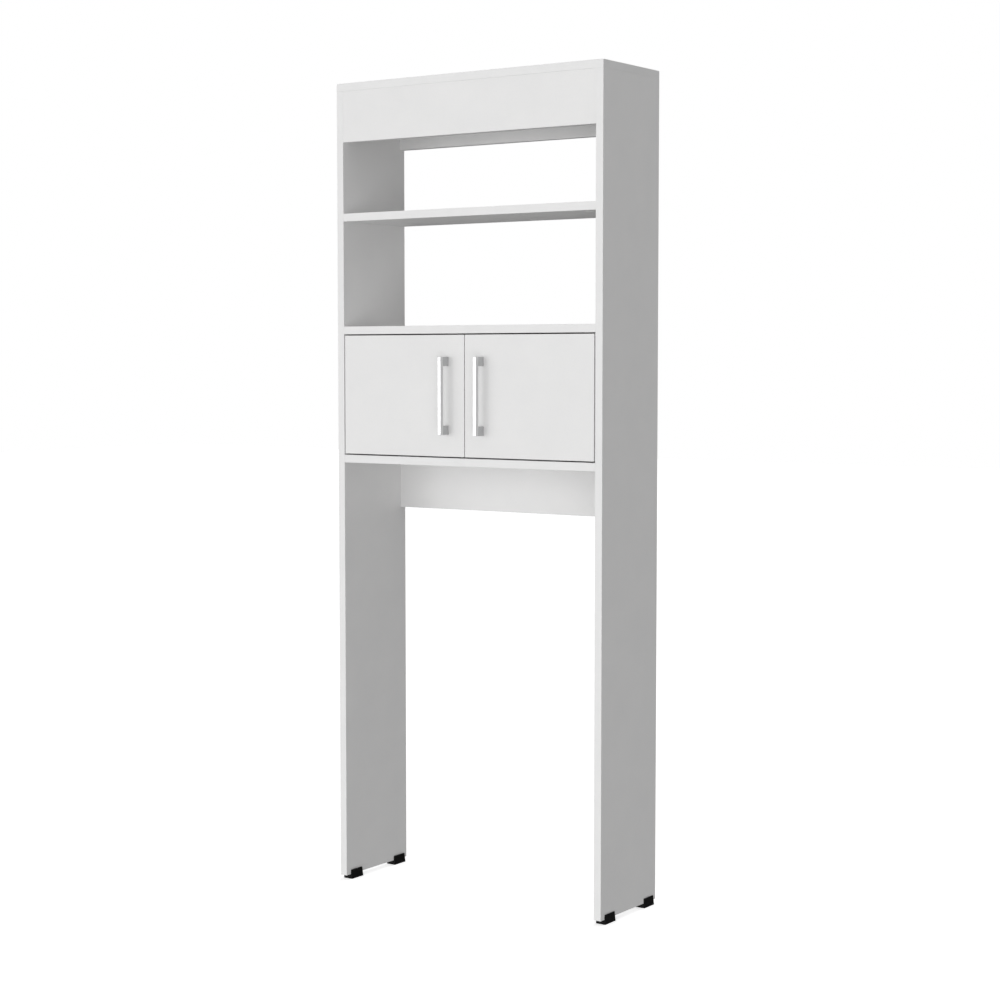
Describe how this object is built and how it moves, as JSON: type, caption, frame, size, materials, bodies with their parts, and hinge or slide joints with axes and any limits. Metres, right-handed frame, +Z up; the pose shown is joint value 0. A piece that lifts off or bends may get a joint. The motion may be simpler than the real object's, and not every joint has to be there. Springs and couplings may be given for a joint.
{
  "type": "over-the-toilet storage rack",
  "caption": "Tall free-standing bathroom rack that stands over a toilet: open shelf bays above a cabinet with inset bar-handled doors, on side panels with clip-on feet.",
  "frame": {"origin": "on the floor, under the middle of the bounding box, handles included", "axes": "+X to the right of someone facing the doors, +Y back towards the wall, +Z up"},
  "size_m": [0.604, 0.218, 1.5425],
  "materials": {
    "white_melamine": "matte white melamine-faced particleboard with matching edge band",
    "white_hardboard": "thin hardboard, painted white inside, bare brown fibre outside",
    "black_plastic": "black moulded plastic, fine texture",
    "satin_aluminium": "satin anodised, drawn lengthwise",
    "silver_plastic": "silver-grey moulded plastic, satin",
    "nickel_steel": "nickel-plated pressed steel",
    "zinc_screw": "bright zinc-plated steel"
  },
  "bodies": {
    "root": {"side_panel_left": "white_melamine", "side_panel_right": "white_melamine", "top_panel": "white_melamine", "top_front_fascia": "white_melamine", "top_back_rail": "white_melamine", "upper_shelf": "white_melamine", "cabinet_top_shelf": "white_melamine", "cabinet_bottom_panel": "white_melamine", "lower_back_rail": "white_melamine", "cabinet_back_panel": "white_hardboard", "foot_front_left": "black_plastic", "foot_back_left": "black_plastic", "foot_front_right": "black_plastic", "foot_back_right": "black_plastic", "foot_nail_front_left": "zinc_screw", "foot_nail_back_left": "zinc_screw", "foot_nail_front_right": "zinc_screw", "foot_nail_back_right": "zinc_screw", "hinge_arm_lower_left": "nickel_steel", "hinge_arm_upper_left": "nickel_steel", "hinge_arm_lower_right": "nickel_steel", "hinge_arm_upper_right": "nickel_steel", "hinge_plate_lower_left": "nickel_steel", "hinge_plate_upper_left": "nickel_steel", "hinge_plate_lower_right": "nickel_steel", "hinge_plate_upper_right": "nickel_steel"},
    "left_outer_links": {"hinge_outer_link_lower_left": "nickel_steel", "hinge_outer_link_upper_left": "nickel_steel"},
    "left_door": {"door_left": "white_melamine", "handle_bar_left": "satin_aluminium", "handle_post_lower_left": "silver_plastic", "handle_post_upper_left": "silver_plastic", "handle_screw_lower_left": "zinc_screw", "handle_screw_upper_left": "zinc_screw", "hinge_cup_lower_left": "nickel_steel", "hinge_cup_upper_left": "nickel_steel", "hinge_cup_screw_a_lower_left": "zinc_screw", "hinge_cup_screw_b_lower_left": "zinc_screw", "hinge_cup_screw_a_upper_left": "zinc_screw", "hinge_cup_screw_b_upper_left": "zinc_screw"},
    "left_inner_links": {"hinge_inner_link_lower_left": "nickel_steel", "hinge_inner_link_upper_left": "nickel_steel"},
    "right_outer_links": {"hinge_outer_link_lower_right": "nickel_steel", "hinge_outer_link_upper_right": "nickel_steel"},
    "right_door": {"door_right": "white_melamine", "handle_bar_right": "satin_aluminium", "handle_post_lower_right": "silver_plastic", "handle_post_upper_right": "silver_plastic", "handle_screw_lower_right": "zinc_screw", "handle_screw_upper_right": "zinc_screw", "hinge_cup_lower_right": "nickel_steel", "hinge_cup_upper_right": "nickel_steel", "hinge_cup_screw_a_lower_right": "zinc_screw", "hinge_cup_screw_b_lower_right": "zinc_screw", "hinge_cup_screw_a_upper_right": "zinc_screw", "hinge_cup_screw_b_upper_right": "zinc_screw"},
    "right_inner_links": {"hinge_inner_link_lower_right": "nickel_steel", "hinge_inner_link_upper_right": "nickel_steel"}
  },
  "joints": [
    {"name": "left_outer_link_fold", "type": "hinge", "parent": "root", "child": "left_outer_links", "pos_m": [-0.2526, -0.056, 0.94975], "axis": [0, 0, -1], "range_deg": [0, 8.5]},
    {"name": "left_door_swing", "type": "hinge", "parent": "left_outer_links", "child": "left_door", "pos_m": [-0.2644, -0.0766, 0.94975], "axis": [0, 0, -1], "range_deg": [0, 86.5]},
    {"name": "left_inner_link_fold", "type": "hinge", "parent": "root", "child": "left_inner_links", "pos_m": [-0.266, -0.071, 0.94975], "axis": [0, 0, -1], "range_deg": [0, 64]},
    {"name": "right_outer_link_fold", "type": "hinge", "parent": "root", "child": "right_outer_links", "pos_m": [0.2526, -0.056, 0.94975], "axis": [0, 0, 1], "range_deg": [0, 8.5]},
    {"name": "right_door_swing", "type": "hinge", "parent": "right_outer_links", "child": "right_door", "pos_m": [0.2644, -0.0766, 0.94975], "axis": [0, 0, 1], "range_deg": [0, 86.5]},
    {"name": "right_inner_link_fold", "type": "hinge", "parent": "root", "child": "right_inner_links", "pos_m": [0.266, -0.071, 0.94975], "axis": [0, 0, 1], "range_deg": [0, 64]}
  ],
  "couplings": [
    {"joint": "left_outer_link_fold", "follows": "left_door_swing", "ratio": 0.0982},
    {"joint": "left_inner_link_fold", "follows": "left_door_swing", "ratio": 0.7398},
    {"joint": "right_outer_link_fold", "follows": "right_door_swing", "ratio": 0.0982},
    {"joint": "right_inner_link_fold", "follows": "right_door_swing", "ratio": 0.7398}
  ]
}
